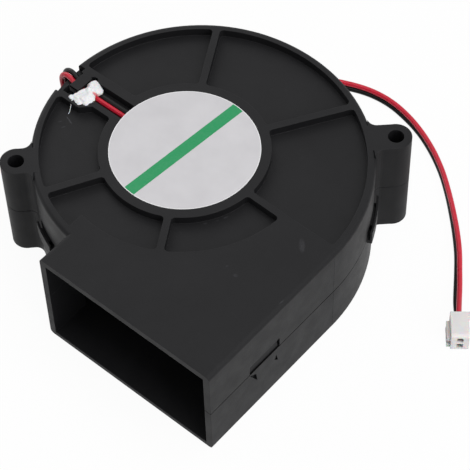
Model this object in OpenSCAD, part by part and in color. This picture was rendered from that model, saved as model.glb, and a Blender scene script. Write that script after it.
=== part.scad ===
// Centrifugal DC blower: a scroll casing in two snapped halves, a brushless
// outer-rotor motor under the round hub, a wheel of forward-curved blades and
// a two-wire lead. Z is the rotor axis; the casing rests on z = 0 with the air
// inlet down, the motor side up and the outlet facing -Y.

/* [Casing] */
// Overall height of the casing
casing_h = 33; // [31:0.5:40]
// Height of the parting plane between the two halves
split_z = 16.8; // [15:0.1:19]
// Outer radius of the scroll's first arc
scroll_r = 44.9; // [43.5:0.1:47]
// Centre of the first arc beside the rotor axis, along X
scroll_x = 1.7; // [1:0.1:2.5]
// Centre of the first arc beside the rotor axis, along Y
scroll_y = 3.1; // [2:0.1:4]
// Plan angle where the first arc runs into the wider second arc
join_a = 105; // [98:1:120]
// Thickness of the side walls
side_wall = 2; // [1.4:0.1:2.4]
// Thickness of the wall over the outlet duct
roof = 2; // [1.4:0.1:3]
// Thickness of the floor on the inlet side
floor_t = 1.4; // [1.2:0.1:2.2]
// Rounding of the casing's outer edges
edge_r = 1.2; // [0.4:0.1:1.3]

/* [Outlet duct] */
// Outer face of the duct's right wall, from the rotor axis
duct_right = 53.2; // [52:0.1:56]
// Outer face of the duct's left wall, from the rotor axis
duct_left = 4.7; // [3:0.1:6]
// Outlet face, from the rotor axis
duct_front = 51.6; // [48:0.1:60]

/* [Motor-side recess] */
// Depth of the ring-shaped recess below the top face
recess_depth = 2.5; // [1.5:0.1:3]
// Wall left under the recess
skin = 1.8; // [1.4:0.1:2.4]
// Width of the rim between the recess and the outer edge
rim_w = 2.2; // [2:0.1:3]
// Radius at which the recess ends on the outlet side
recess_front_r = 34.6; // [32:0.1:36]
// Width of the ribs between hub and rim
rib_w = 2; // [1.2:0.1:3]
// Outer radius of the hub ring
hub_r = 23.4; // [22.6:0.1:25]
// Radius of the round label
label_r = 20.6; // [18:0.1:21.4]
// Thickness of the label
label_t = 0.2; // [0.1:0.05:0.4]

/* [Lead channel] */
// Width of the channel that the wires lie in
channel_w = 5.6; // [5:0.1:7]
// Width of the notch where the wires leave the rim
notch_w = 10.8; // [9:0.1:12]
// Diameter of each insulated wire
lead_d = 1.5; // [1.2:0.1:1.6]

/* [Mounting ears] */
// Radius of the rounded ear around each screw hole
ear_r = 4.4; // [3.8:0.1:5.5]
// Diameter of the screw holes
ear_hole_d = 4.5; // [3.2:0.1:5]
// Distance of the left hole beyond the scroll wall
left_ear_out = 3.9; // [3.5:0.1:6]
// Distance of the right hole beyond the scroll wall
right_ear_out = 6.2; // [4:0.1:9]

/* [Air inlet] */
// Radius of the round air inlet
inlet_r = 29.5; // [24:0.5:31]
// Height of the collar around the inlet
inlet_collar_h = 3.2; // [2.4:0.1:4]

/* [Impeller] */
// Outer radius of the impeller
wheel_r = 35; // [33.5:0.1:37]
// Number of blades
blades = 36; // [24:1:44]
// Thickness of a blade
blade_t = 0.9; // [0.7:0.1:1.2]
// Radius of a blade's curve
blade_curve_r = 5.2; // [4.6:0.1:6]
// Angle that a blade turns through along its curve
blade_sweep = 70; // [50:1:80]
// Gap between the inlet collar and the impeller
wheel_gap = 1; // [0.6:0.1:2]

/* [Motor] */
// Radius of the shaft
shaft_r = 1.5; // [1.4:0.05:1.55]
// Outer radius of the bearing tube
tube_r = 5; // [4.8:0.1:5.4]
// Height of the stator's lamination stack
stack_h = 10; // [7:0.5:10.5]
// Outer radius of the stator poles
pole_r = 15; // [14.4:0.1:15.2]
// Radial air gap between poles and magnet
air_gap = 0.6; // [0.4:0.05:0.8]
// Radial thickness of the ring magnet
magnet_t = 2.4; // [1.8:0.1:2.6]
// Thickness of the rotor yoke
yoke_t = 0.8; // [0.6:0.1:1]
// Thickness of the plastic hub around the yoke
wheel_hub_t = 1.5; // [1.2:0.1:2]

/* [Connector] */
// Length of the connector housing
plug_l = 8.2; // [7:0.1:11]
// Width of the housing across its two ways
plug_w = 6.2; // [5.6:0.1:8]
// Thickness of the housing
plug_t = 4.9; // [4:0.1:6]

/* [Hidden] */
$fn = 72;
eps = 0.01;
far = 200;

// --- casing outline: two tangent arcs and a straight duct ---
c1 = [scroll_x, scroll_y];
// radius of the second arc, tangent to the first at join_a and to the right wall
r2 = (duct_right - scroll_x - scroll_r * cos(join_a)) / (1 - cos(join_a));
c2 = c1 - (r2 - scroll_r) * [cos(join_a), sin(join_a)];

// distance from the rotor axis to a circle's edge, along the plan angle a
function reach(c, r, a) =
    let (along = c * [cos(a), sin(a)], across = c[0] * sin(a) - c[1] * cos(a))
    along + sqrt(r * r - across * across);

// --- heights, counted down from the motor side ---
top = casing_h;
recess_z = top - recess_depth;
ceiling_z = recess_z - skin;
duct_ceiling_z = top - roof;
label_z = top - label_t;
hub_disc_t = 1.6;
pocket_z = label_z - hub_disc_t;            // roof of the circuit board's pocket
pcb_t = 1;
pcb_gap = 1.3;
pcb_z = pocket_z - pcb_gap - pcb_t;         // lower face of the board
boss_h = 4.2;
boss_z = pocket_z - boss_h;                 // lower end of the hub's boss
boss_r = tube_r + 2.6;
tube_ledge = 0.8;
tube_top_z = label_z - tube_ledge;
insulator_neck_h = 2.5;
stack_top_z = boss_z - insulator_neck_h;
stack_z = stack_top_z - stack_h;
overhang = 3;                               // coil height above or below the stack
coil_gap = 0.9;                             // coil to rotor plate
yoke_in_z = stack_z - overhang - coil_gap;  // inner face of the yoke's plate
yoke_z = yoke_in_z - yoke_t;
yoke_top_z = boss_z;
magnet_over = 1.5;                          // magnet length beyond the stack, each end
wheel_end_t = 1.6;
wheel_end_z = yoke_z - wheel_end_t;

// --- bearings (3 x 8 x 4 mm deep-groove ball bearings) ---
brg_r = 4;
brg_h = 4;
ball_r = 0.79;
ball_pitch_r = (shaft_r + brg_r) / 2 + 0.03;
groove_r = ball_r + 0.03;
outer_land_r = brg_r - 0.75;
inner_land_r = shaft_r + 0.72;
balls = 7;
cage_h = 2.3;
bush_flange_t = 1.4;
spring_h = 1.4;
lower_brg_z = yoke_in_z + bush_flange_t + spring_h;
upper_brg_z = tube_top_z - 5.4;
tube_z = lower_brg_z - 0.6;
clip_t = 0.4;
clip_z = upper_brg_z + brg_h + 0.05;
clip_groove_r = shaft_r - 0.3;
shaft_top_z = tube_top_z - 0.4;

// --- stator ---
tooth_w = 5;
core_r = tube_r + 3;
shoe_t = 1.8;                               // radial thickness of the pole shoes
shoe_in_r = pole_r - shoe_t;
shoe_a = 37;                                // half angle that a shoe spans
liner_t = 0.5;
slot_end_t = 0.8;
insulator_r = core_r + 0.4;
flange_in_r = shoe_in_r - 0.3;
flange_t = 1.2;
flange_w = 8;
flange_mid_r = flange_in_r + flange_t / 2;
post_r = 0.5;
pin_r = 0.35;
coil_in_r = core_r + 0.6;
coil_side = 3;
coil_short = 0.1;                           // gap left around a coil
coil_corner = 1.6;

// --- circuit board ---
pocket_r = hub_r - side_wall - 2;
pcb_r = pocket_r - 0.6;
pcb_hole_r = tube_r + 2.9;
board_mid_r = (pcb_r + pcb_hole_r) / 2;
hall_r = pcb_r - 2.3;
capacitor_d = 4;
chip_l = 5;
chip_w = 4;

// --- rotor radii ---
magnet_in_r = pole_r + air_gap;
magnet_r = magnet_in_r + magnet_t;
yoke_r = magnet_r + yoke_t;
wheel_hub_r = yoke_r + wheel_hub_t;

// --- moulded corner radii ---
corner_r = 1.2;                             // inside corners of the recess
ear_blend_r = 2.6;                          // where an ear's neck meets the scroll wall

// --- ribs in the recess: plan angle, and which arc the recess ends at on its
// clockwise and its other side (0 where that is the outlet side's circle) ---
ribs = [[-1.5, 0, 2], [58, 2, 2], [119.5, 1, 1], [241, 1, 1], [300.5, 0, 0]];

// --- lead channel ---
channel_y = -0.2;                           // centre line of the channel
channel_top = channel_y + channel_w / 2;
channel_bottom = channel_y - channel_w / 2;
upper_rib_w = 2.8;
lower_rib_w = 1.8;
pad_w = 4.5;                                // wider land beside the notch
pad_bevel = 2.8;
rim_in_x = -reach(c1, scroll_r - rim_w, 180); // inner edge of the rim at the channel
pad_in_x = rim_in_x + 8.7;
notch_y = -1.2;                             // centre line of the notch
tab_x = [rim_in_x + 1.2, rim_in_x + 4.4];
tab_t = 0.85;
lead_z = recess_z + lead_d / 2;
lead_y = [-0.95, 0.65];                     // red and black wire in the channel
joint_x = rim_in_x + 6.6;                   // where the free lead begins, inside the glue
pad_x = 3.3 - pcb_r;                        // solder pads on the board
channel_end_x = pad_x + 1.6;

// --- parting lip ---
lip_t = 0.85;
lip_h = 1.2;
lip_clear = 0.1;

// --- latches ---
latch_h = 2.4;
latch_t = 0.6;
latch_gap = 0.7;
latch_clear = 0.15;
latch_pocket = 0.75;                        // depth cut into the wall behind a latch
arc_latches = [[1, 245, 9.4], [1, 160, 9.4], [2, 90, 13], [2, 30.4, 13]];  // arc, plan angle, width
duct_latch_y = -30.3;
duct_latch_w = 11.2;
duct_latch_t = 0.9;
duct_window_h = 3.4;

// --- parting line ---
parting_gap = 0.2;
parting_depth = 0.4;

// --- ears ---
left_ear_a = 225;
right_ear_a = 43.9;
left_ear = (reach(c1, scroll_r, left_ear_a) + left_ear_out) * [cos(left_ear_a), sin(left_ear_a)];
right_ear = (reach(c2, r2, right_ear_a) + right_ear_out) * [cos(right_ear_a), sin(right_ear_a)];

// ---------------------------------------------------------------- outlines

// Where the second arc is in force: from the duct's straight wall round to the
// join. It stands proud of the first by arc_step, so the arcs never just touch.
arc_step = 0.02;
arc_lap = 3;                                // degrees that the second arc runs on
duct_lap = 0.8;                             // depth that the duct reaches into it

module sector2_2d() {
    polygon([c2, c2 + [far, 0], c2 + [far, far],
             c2 + far * [cos(join_a + arc_lap) / sin(join_a + arc_lap), 1]]);
}

module scroll_2d(inset) {
    translate(c1) circle(r = scroll_r - inset);
    intersection() {
        translate(c2) circle(r = r2 + arc_step - inset);
        sector2_2d();
    }
}

// Plan of the casing, or of its hollow when inset by the wall
module casing_2d(inset, past = 0) {
    scroll_2d(inset);
    translate([-duct_left + inset, -duct_front - past])
        square([duct_left + duct_right - 2 * inset, duct_front + past + c2[1] + duct_lap]);
}

// The corner of the plan that stays full height, between tongue and outlet
module outlet_side_2d(shrink = 0) {
    difference() {
        translate([-duct_left - 1.3 + shrink, -far]) square([far, far - shrink]);
        circle(r = recess_front_r + shrink);
    }
}

// ---------------------------------------------------------------- casing

// Right half of a slab's outline from the middle out to r, edges rounded
edge_steps = 5;
function slab_edge(r) = [
    for (i = [0:edge_steps]) let (a = -90 + 90 * i / edge_steps)
        [r - edge_r + edge_r * cos(a), edge_r + edge_r * sin(a)],
    for (i = [0:edge_steps]) let (a = 90 * i / edge_steps)
        [r - edge_r + edge_r * cos(a), casing_h - edge_r + edge_r * sin(a)]];

module rounded_disc(r) {
    rotate_extrude() polygon([[0, 0], each slab_edge(r), [0, casing_h]]);
}

module rounded_duct() {
    half_w = (duct_left + duct_right) / 2;
    translate([duct_right - half_w, c2[1] + duct_lap, 0]) rotate([90, 0, 0])
        linear_extrude(duct_front + c2[1] + duct_lap)
            for (side = [0, 1]) mirror([side, 0])
                polygon([[-1, 0], each slab_edge(half_w), [-1, casing_h]]);
}

module casing_block() {
    translate(c1) rounded_disc(scroll_r);
    intersection() {
        translate(c2) rounded_disc(r2 + arc_step);
        linear_extrude(casing_h) sector2_2d();
    }
    rounded_duct();
}

// Centre of a circle that lies w beside the radial line at plan angle a, and
// at distance d from c
function touch(a, w, c, d) =
    let (u = [cos(a), sin(a)], s = w * [-sin(a), cos(a)] - c, along = s * u)
    c + s + (sqrt(along * along - s * s + d * d) - along) * u;

// The web that fills a corner, with a hollow arc of radius r about f from plan
// angle a0 to a1. It reaches corner_lap into the walls on both sides.
corner_lap = 0.03;
corner_steps = 5;
module corner_2d(f, a0, a1, r) {
    mid = (a0 + a1) / 2;
    polygon([for (i = [0:corner_steps]) let (a = a0 + (a1 - a0) * i / corner_steps)
                 f + (r + corner_lap) * [cos(a), sin(a)],
             f + 1.6 * r * [cos(mid), sin(mid)]]);
}

// The same turn from a0, as the plan angle that v points along
function towards(v, a0) =
    let (a = atan2(v[1], v[0])) a + 360 * round((a0 - a) / 360);

// Corner beside a radial wall of half-width w: side is 1 or -1, and the other
// wall is the circle of radius r1 about c, met from inside or from outside
module radial_corner_2d(a, side, w, c, r1, r, inside) {
    f = touch(a, side * (w + r), c, r1 + (inside ? -r : r));
    to_wall = a - side * 90;
    corner_2d(f, to_wall, towards(inside ? f - c : c - f, to_wall), r);
}

module ear_2d(at, c, r1, inset = 0) {
    a = atan2(at[1], at[0]);
    w = ear_r - 0.05 - inset;
    translate(at) circle(r = ear_r - inset);
    rotate(a) translate([norm(at) - 12, -w]) square([12, 2 * w]);
    if (inset == 0) for (side = [-1, 1]) radial_corner_2d(a, side, w, c, r1, ear_blend_r, false);
}

module ears_2d(inset = 0) {
    ear_2d(left_ear, c1, scroll_r, inset);
    ear_2d(right_ear, c2, r2, inset);
}

module ears(z0, z1) {
    translate([0, 0, z0]) linear_extrude(z1 - z0) ears_2d();
}

module ear_holes() {
    for (at = [left_ear, right_ear])
        translate([at[0], at[1], -1]) cylinder(d = ear_hole_d, h = casing_h + 2);
}

// A band along one of the arcs at a latch: out = [from, to] beyond the wall
module on_arc(latch, out, width, z) {
    c = latch[0] == 1 ? c1 : c2;
    r = latch[0] == 1 ? scroll_r : r2;
    translate([c[0], c[1], z[0]]) rotate(latch[1]) linear_extrude(z[1] - z[0]) intersection() {
        difference() {
            circle(r = r + out[1]);
            circle(r = r + out[0]);
        }
        translate([r - 5, -width / 2]) square([10, width]);
    }
}

module rib_2d(a) {
    rotate(a) translate([hub_r - 1, -rib_w / 2]) square([40, rib_w]);
}

// Rounded corners between a rib, the hub and the recess's outer wall
module rib_corners_2d(rib) {
    for (i = [0, 1]) {
        side = 2 * i - 1;
        arc = rib[1 + i];
        c = [[0, 0], c1, c2][arc];
        r1 = [recess_front_r, scroll_r - rim_w, r2 - rim_w][arc];
        radial_corner_2d(rib[0], side, rib_w / 2, [0, 0], hub_r, corner_r, false);
        radial_corner_2d(rib[0], side, rib_w / 2, c, r1, corner_r, true);
    }
}

// Land around the wire channel: a rib each side and a wider pad at the notch
module channel_land_2d() {
    low = channel_bottom - lower_rib_w;
    high = channel_top + upper_rib_w;
    pad_low = channel_bottom - pad_w;
    translate([-60, low]) square([60 - hub_r + 1, high - low]);
    polygon([[-60, pad_low], [pad_in_x, pad_low], [pad_in_x + pad_bevel, low + 0.1],
             [pad_in_x + pad_bevel, low + 1], [-60, low + 1]]);
    radial_corner_2d(180, -1, high, [0, 0], hub_r, corner_r, false);
    radial_corner_2d(180, 1, -low, [0, 0], hub_r, corner_r, false);
    radial_corner_2d(180, -1, high, c1, scroll_r - rim_w, corner_r, true);
    radial_corner_2d(180, 1, -pad_low, c1, scroll_r - rim_w, corner_r, true);
}

module recess_2d() {
    difference() {
        union() {
            circle(r = recess_front_r);
            difference() {
                scroll_2d(rim_w);
                outlet_side_2d();
            }
        }
        circle(r = hub_r);
        for (rib = ribs) {
            rib_2d(rib[0]);
            rib_corners_2d(rib);
        }
        channel_land_2d();
    }
}

module motor_side_hollow() {
    translate([0, 0, split_z - 1]) linear_extrude(ceiling_z - split_z + 1)
        casing_2d(side_wall, 1);
    // higher ceiling over the outlet
    translate([0, 0, ceiling_z - 1]) linear_extrude(duct_ceiling_z - ceiling_z + 1)
        intersection() {
            casing_2d(side_wall, 1);
            outlet_side_2d(skin);
        }
    // rebate for the cover's lip
    translate([0, 0, split_z - 1]) linear_extrude(lip_h + lip_clear + 1)
        casing_2d(side_wall - lip_t - lip_clear, 1);
}

// Everything cut into the round hub: label seat, board pocket, tube seat
module hub_cuts() {
    translate([0, 0, label_z]) cylinder(r = label_r + 0.1, h = 1);
    translate([0, 0, ceiling_z - 1]) difference() {
        cylinder(r = pocket_r, h = pocket_z - ceiling_z + 1);
        cylinder(r = boss_r, h = far);
    }
    translate([0, 0, boss_z - 1]) cylinder(r = tube_r, h = tube_top_z - boss_z + 1);
    translate([0, 0, boss_z]) cylinder(r = brg_r, h = far);
}

module channel_cuts() {
    reach_x = scroll_r + 5;
    translate([-reach_x, channel_bottom, recess_z])
        cube([reach_x - hub_r + side_wall + 2.1, channel_w, 10]);
    // slot through the hub disc to the solder pads
    translate([-hub_r + side_wall, channel_bottom, pocket_z - 1])
        cube([channel_end_x + hub_r - side_wall, channel_w, 10]);
    // notch in the rim
    translate([-reach_x, notch_y - notch_w / 2, recess_z])
        cube([reach_x + reach(c1, scroll_r - rim_w, 180) * -1 + 0.4, notch_w, 10]);
    // pocket beside the tab, and the small round hole at the channel's edge
    translate([tab_x[0] - 0.2, channel_bottom - 2.6, recess_z - 0.6]) cube([4.8, 2.7, 10]);
    translate([tab_x[1] + 0.8, channel_top - 0.3, recess_z - 0.6]) cylinder(r = 1.4, h = 10, $fn = 32);
}

module housing_tab() {
    translate([tab_x[0], channel_bottom, top - tab_t])
        cube([tab_x[1] - tab_x[0], channel_w + eps, tab_t]);
}

module motor_side_housing() {
    color([0.17, 0.17, 0.175]) {
        difference() {
            union() {
                intersection() {
                    casing_block();
                    translate([-far, -far, split_z]) cube([2 * far, 2 * far, far]);
                }
                ears(split_z, casing_h);
            }
            difference() {
                motor_side_hollow();
                translate([0, 0, boss_z]) cylinder(r = boss_r, h = far);
            }
            translate([0, 0, recess_z]) linear_extrude(10) recess_2d();
            hub_cuts();
            channel_cuts();
            ear_holes();
            // window for the latch in the duct wall
            translate([duct_right - duct_latch_t - latch_clear, duct_latch_y - duct_latch_w / 2 - 0.4, split_z - 1])
                cube([10, duct_latch_w + 0.8, duct_window_h + 1]);
            for (latch = arc_latches)
                on_arc(latch, [-latch_pocket, 2], latch[2] + 0.4, [split_z - 1, split_z + latch_h + 0.4]);
        }
        housing_tab();
        // nubs that the cover's arc latches catch on
        for (latch = arc_latches)
            on_arc(latch, [-latch_pocket - 0.2, latch_gap - latch_clear], latch[2] / 2,
                   [split_z + 0.7, split_z + 1.7]);
    }
}

module inlet_side_cover() {
    color([0.17, 0.17, 0.175]) {
        difference() {
            union() {
                intersection() {
                    casing_block();
                    translate([-far, -far, 0]) cube([2 * far, 2 * far, split_z]);
                }
                ears(0, split_z);
            }
            translate([0, 0, floor_t]) linear_extrude(casing_h) casing_2d(side_wall, 1);
            translate([0, 0, -1]) cylinder(r = inlet_r, h = far);
            ear_holes();
            parting_groove();
            latch_reliefs();
        }
        inlet_collar();
        parting_lip();
        duct_latch();
        for (latch = arc_latches) arc_latch(latch);
    }
}

// Fine gap that shows along the parting line, round the casing and its ears
module parting_groove() {
    translate([0, 0, split_z - parting_gap]) linear_extrude(1) difference() {
        square(2 * far, center = true);
        casing_2d(parting_depth);
        ears_2d(parting_depth);
    }
}

// Three-cornered hollows in the duct wall, below the ends of the latch
module latch_reliefs() {
    half = duct_latch_w / 2;
    relief_t = 0.8;
    for (corners = [[[-half - 0.4, -0.5], [2.2 - half, -2.4], [2.5 - half, -5.6]],
                    [[half - 1.7, -4.4], [half - 0.9, -2.7], [half - 0.3, -5.9]]])
        translate([duct_right - relief_t, duct_latch_y, split_z]) rotate([90, 0, 90])
            linear_extrude(1) polygon(corners);
}

// Tongue in the duct wall's window, thinner towards its top
module duct_latch() {
    translate([0, duct_latch_y + duct_latch_w / 2, split_z]) rotate([90, 0, 0])
        linear_extrude(duct_latch_w)
            polygon([[duct_right - duct_latch_t, -0.6], [duct_right - parting_depth, -0.6],
                     [duct_right - parting_depth, 0.3], [duct_right - 0.6, latch_h - 0.3],
                     [duct_right - duct_latch_t, latch_h - 0.3]]);
}

module inlet_collar() {
    wall = 1.5;
    rotate_extrude() translate([inlet_r, floor_t - eps]) {
        square([wall, inlet_collar_h - floor_t - wall / 2]);
        translate([wall / 2, inlet_collar_h - floor_t - wall / 2]) circle(d = wall);
        translate([0, 0]) square([wall / 2, inlet_collar_h - floor_t]);
    }
}

module parting_lip() {
    translate([0, 0, split_z - eps]) linear_extrude(lip_h + eps) difference() {
        intersection() {
            casing_2d(side_wall - lip_t);
            translate([-far, -duct_front]) square(2 * far);
        }
        casing_2d(side_wall, 1);
    }
}

module arc_latch(latch) {
    low = split_z - 2.2;
    outer = latch_gap + latch_t;
    on_arc(latch, [-0.6, outer], latch[2], [low, low + 1.2]);
    on_arc(latch, [latch_gap, outer], latch[2], [low + 1, split_z + latch_h]);
}

module label() {
    color([0.82, 0.83, 0.84])
        translate([0, 0, label_z]) cylinder(r = label_r, h = label_t);
}

// ---------------------------------------------------------------- circuit board

module circuit_board() {
    color([0.1, 0.35, 0.2]) difference() {
        translate([0, 0, pcb_z]) cylinder(r = pcb_r, h = pcb_t);
        translate([0, 0, pcb_z - 1]) cylinder(r = pcb_hole_r, h = far);
        pins(pcb_z - 1, far);
    }
}

module driver_chip() {
    pitch = 1.27;
    color([0.12, 0.12, 0.13]) rotate(200) translate([board_mid_r, 0, pcb_z + pcb_t]) {
        translate([-chip_l / 2, -chip_w / 2, 0]) cube([chip_l, chip_w, 1.1]);
        for (i = [-1.5:1.5], side = [-1, 1])
            translate([i * pitch - 0.2, side * (chip_w / 2 + 0.4) - 0.5, 0]) cube([0.4, 1, 0.5]);
    }
}

module hall_sensor() {
    color([0.12, 0.12, 0.13]) rotate(45) translate([hall_r, 0, pcb_z - pcb_gap])
        translate([-0.8, -2, 0]) cube([1.6, 4, pcb_gap]);
}

module capacitor() {
    h = 3.6;
    color([0.75, 0.76, 0.78]) rotate(225) translate([board_mid_r - 0.7, 0, pcb_z - h])
        cylinder(d = capacitor_d, h = h);
}

module at_poles() {
    for (i = [0:3]) rotate(90 * i) children();
}

module pins(z0, z1) {
    at_poles() translate([flange_mid_r, 0, z0]) cylinder(r = pin_r, h = z1 - z0, $fn = 24);
}

module winding_pins() {
    color([0.78, 0.78, 0.76]) pins(stack_top_z + 1.4, pcb_z + pcb_t + 0.5);
}

// ---------------------------------------------------------------- stator

module stator_core() {
    color([0.62, 0.63, 0.65]) translate([0, 0, stack_z]) linear_extrude(stack_h) difference() {
        union() {
            circle(r = core_r);
            at_poles() translate([0, -tooth_w / 2]) square([pole_r - shoe_t / 2, tooth_w]);
            difference() {
                circle(r = pole_r);
                circle(r = shoe_in_r);
                for (i = [0:3]) rotate(45 + 90 * i)
                    polygon([[0, 0], far * [cos(45 - shoe_a), sin(45 - shoe_a)],
                             far * [cos(45 - shoe_a), -sin(45 - shoe_a)]]);
            }
        }
        circle(r = tube_r);
    }
}

// Half of the moulded slot liner, upper half of the stack at z >= 0
module insulator_half(neck_h, posts_h) {
    half = stack_h / 2;
    w = tooth_w + 2 * liner_t;
    liner_x = sqrt(shoe_in_r * shoe_in_r - w * w / 4) - 0.05;
    difference() {
        union() {
            translate([0, 0, half]) cylinder(r = insulator_r, h = neck_h);
            at_poles() {
                translate([tube_r, -w / 2, 0]) cube([liner_x - tube_r, w, half]);
                translate([tube_r, -w / 2, half]) cube([flange_in_r - tube_r + 0.2, w, slot_end_t]);
                translate([flange_in_r, -flange_w / 2, half]) cube([flange_t, flange_w, overhang]);
                if (posts_h > 0) translate([flange_mid_r, 0, half])
                    cylinder(r = post_r, h = posts_h, $fn = 32);
            }
        }
        translate([0, 0, -1]) cylinder(r = tube_r, h = far);
        translate([0, 0, -1]) cylinder(r = core_r, h = half + 1);
        at_poles() translate([0, -tooth_w / 2, -1]) cube([pole_r, tooth_w, half + 1]);
    }
}

module upper_insulator() {
    color([0.9, 0.9, 0.86]) difference() {
        translate([0, 0, stack_z + stack_h / 2]) insulator_half(insulator_neck_h, pcb_z - stack_top_z);
        pins(stack_top_z + 1.4, far);
    }
}

module lower_insulator() {
    color([0.9, 0.9, 0.86])
        translate([0, 0, stack_z + stack_h / 2]) mirror([0, 0, 1]) insulator_half(1.2, 0);
}

module coil(i) {
    in_w = tooth_w + 2 * liner_t;
    in_h = stack_h + 2 * slot_end_t;
    out_w = in_w + 2 * coil_side;
    out_h = stack_h + 2 * (overhang - coil_short);
    color([0.72, 0.4, 0.2]) rotate(90 * i) intersection() {
        translate([coil_in_r, 0, stack_z + stack_h / 2])
            rotate([90, 0, 90]) linear_extrude(flange_in_r - coil_short - coil_in_r) difference() {
                union() {
                    square([out_w - 2 * coil_corner, out_h], center = true);
                    square([out_w, out_h - 2 * coil_corner], center = true);
                    for (x = [-1, 1], y = [-1, 1])
                        translate([x * (out_w / 2 - coil_corner), y * (out_h / 2 - coil_corner)])
                            circle(r = coil_corner);
                }
                square([in_w, in_h], center = true);
            }
        cylinder(r = shoe_in_r - coil_short, h = far);
    }
}

module coil_1() { coil(0); }
module coil_2() { coil(1); }
module coil_3() { coil(2); }
module coil_4() { coil(3); }

// ---------------------------------------------------------------- bearings

module bearing_tube() {
    color([0.78, 0.62, 0.32]) difference() {
        translate([0, 0, tube_z]) cylinder(r = tube_r, h = tube_top_z - tube_z);
        translate([0, 0, tube_z - 1]) cylinder(r = brg_r, h = lower_brg_z + brg_h - tube_z + 1);
        translate([0, 0, upper_brg_z]) cylinder(r = brg_r, h = far);
        cylinder(r = outer_land_r, h = far);
    }
}

module groove(h) {
    translate([0, 0, h / 2]) rotate_extrude() translate([ball_pitch_r, 0]) circle(r = groove_r, $fn = 32);
}

module outer_ring() {
    color([0.8, 0.8, 0.82]) difference() {
        cylinder(r = brg_r, h = brg_h);
        translate([0, 0, -1]) cylinder(r = outer_land_r, h = brg_h + 2);
        groove(brg_h);
    }
}

module inner_ring() {
    color([0.8, 0.8, 0.82]) difference() {
        cylinder(r = inner_land_r, h = brg_h);
        translate([0, 0, -1]) cylinder(r = shaft_r, h = brg_h + 2);
        groove(brg_h);
    }
}

module at_balls() {
    for (i = [0:balls - 1]) rotate(360 / balls * i) translate([ball_pitch_r, 0, brg_h / 2]) children();
}

module ball_row() {
    color([0.85, 0.85, 0.87]) at_balls() sphere(r = ball_r, $fn = 24);
}

module cage() {
    color([0.55, 0.5, 0.4]) difference() {
        translate([0, 0, brg_h / 2 - cage_h / 2]) difference() {
            cylinder(r = ball_pitch_r + 0.25, h = cage_h);
            translate([0, 0, -1]) cylinder(r = ball_pitch_r - 0.25, h = cage_h + 2);
        }
        at_balls() rotate([0, 90, 0]) cylinder(r = groove_r, h = 2, center = true);
    }
}

module shields() {
    color([0.7, 0.7, 0.72]) for (z = [0.1, brg_h - 0.25]) translate([0, 0, z]) difference() {
        cylinder(r = outer_land_r, h = 0.15);
        translate([0, 0, -1]) cylinder(r = inner_land_r + 0.12, h = 3);
    }
}

module upper_bearing_outer_ring() { translate([0, 0, upper_brg_z]) outer_ring(); }
module upper_bearing_inner_ring() { translate([0, 0, upper_brg_z]) inner_ring(); }
module upper_bearing_balls() { translate([0, 0, upper_brg_z]) ball_row(); }
module upper_bearing_cage() { translate([0, 0, upper_brg_z]) cage(); }
module upper_bearing_shields() { translate([0, 0, upper_brg_z]) shields(); }
module lower_bearing_outer_ring() { translate([0, 0, lower_brg_z]) outer_ring(); }
module lower_bearing_inner_ring() { translate([0, 0, lower_brg_z]) inner_ring(); }
module lower_bearing_balls() { translate([0, 0, lower_brg_z]) ball_row(); }
module lower_bearing_cage() { translate([0, 0, lower_brg_z]) cage(); }
module lower_bearing_shields() { translate([0, 0, lower_brg_z]) shields(); }

// ---------------------------------------------------------------- rotor

module shaft() {
    chamfer = 0.3;
    color([0.8, 0.8, 0.82]) difference() {
        rotate_extrude() polygon([[0, yoke_z], [shaft_r, yoke_z], [shaft_r, shaft_top_z - chamfer],
                                  [shaft_r - chamfer, shaft_top_z], [0, shaft_top_z]]);
        translate([0, 0, clip_z]) difference() {
            cylinder(r = shaft_r + 1, h = clip_t);
            translate([0, 0, -1]) cylinder(r = clip_groove_r, h = clip_t + 2);
        }
    }
}

// Small compression spring between the rotor's bush and the lower bearing
module preload_spring() {
    wire_r = 0.17;
    coil_mid_r = shaft_r + 0.45;
    turns = 3;
    steps = 14;
    low = yoke_in_z + bush_flange_t + wire_r + 0.02;
    rise = spring_h - 2 * wire_r - 0.04;
    color([0.75, 0.75, 0.78])
        tube([for (i = [0:turns * steps]) let (a = 360 * i / steps)
                  [coil_mid_r * cos(a), coil_mid_r * sin(a), low + rise * i / (turns * steps)]],
             wire_r, 6, [1, 0, 0]);
}

module retaining_clip() {
    color([0.3, 0.3, 0.32]) translate([0, 0, clip_z]) linear_extrude(clip_t) difference() {
        circle(r = shaft_r + 1.1);
        circle(r = clip_groove_r);
        translate([0, -0.9]) square([5, 1.8]);
    }
}

bush_r = 3.6;
bush_spigot_r = 2.6;

module rotor_bush() {
    color([0.78, 0.62, 0.32]) difference() {
        union() {
            translate([0, 0, yoke_z]) cylinder(r = bush_spigot_r, h = yoke_t);
            translate([0, 0, yoke_in_z]) cylinder(r = bush_r, h = bush_flange_t);
        }
        cylinder(r = shaft_r, h = far);
    }
}

module rotor_yoke() {
    color([0.55, 0.56, 0.58]) difference() {
        translate([0, 0, yoke_z]) cylinder(r = yoke_r, h = yoke_top_z - yoke_z);
        translate([0, 0, yoke_in_z]) cylinder(r = magnet_r, h = far);
        cylinder(r = bush_spigot_r, h = far);
    }
}

module ring_magnet() {
    h = stack_h + 2 * magnet_over;
    color([0.25, 0.24, 0.24]) translate([0, 0, stack_z - magnet_over]) difference() {
        cylinder(r = magnet_r, h = h);
        translate([0, 0, -1]) cylinder(r = magnet_in_r, h = h + 2);
    }
}

wheel_z = inlet_collar_h + wheel_gap;
backplate_t = 1.6;
blade_in_r = wheel_r - 5.5;
ring_h = 2.2;
ring_w = 1.8;
blade_steps = 7;

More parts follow.
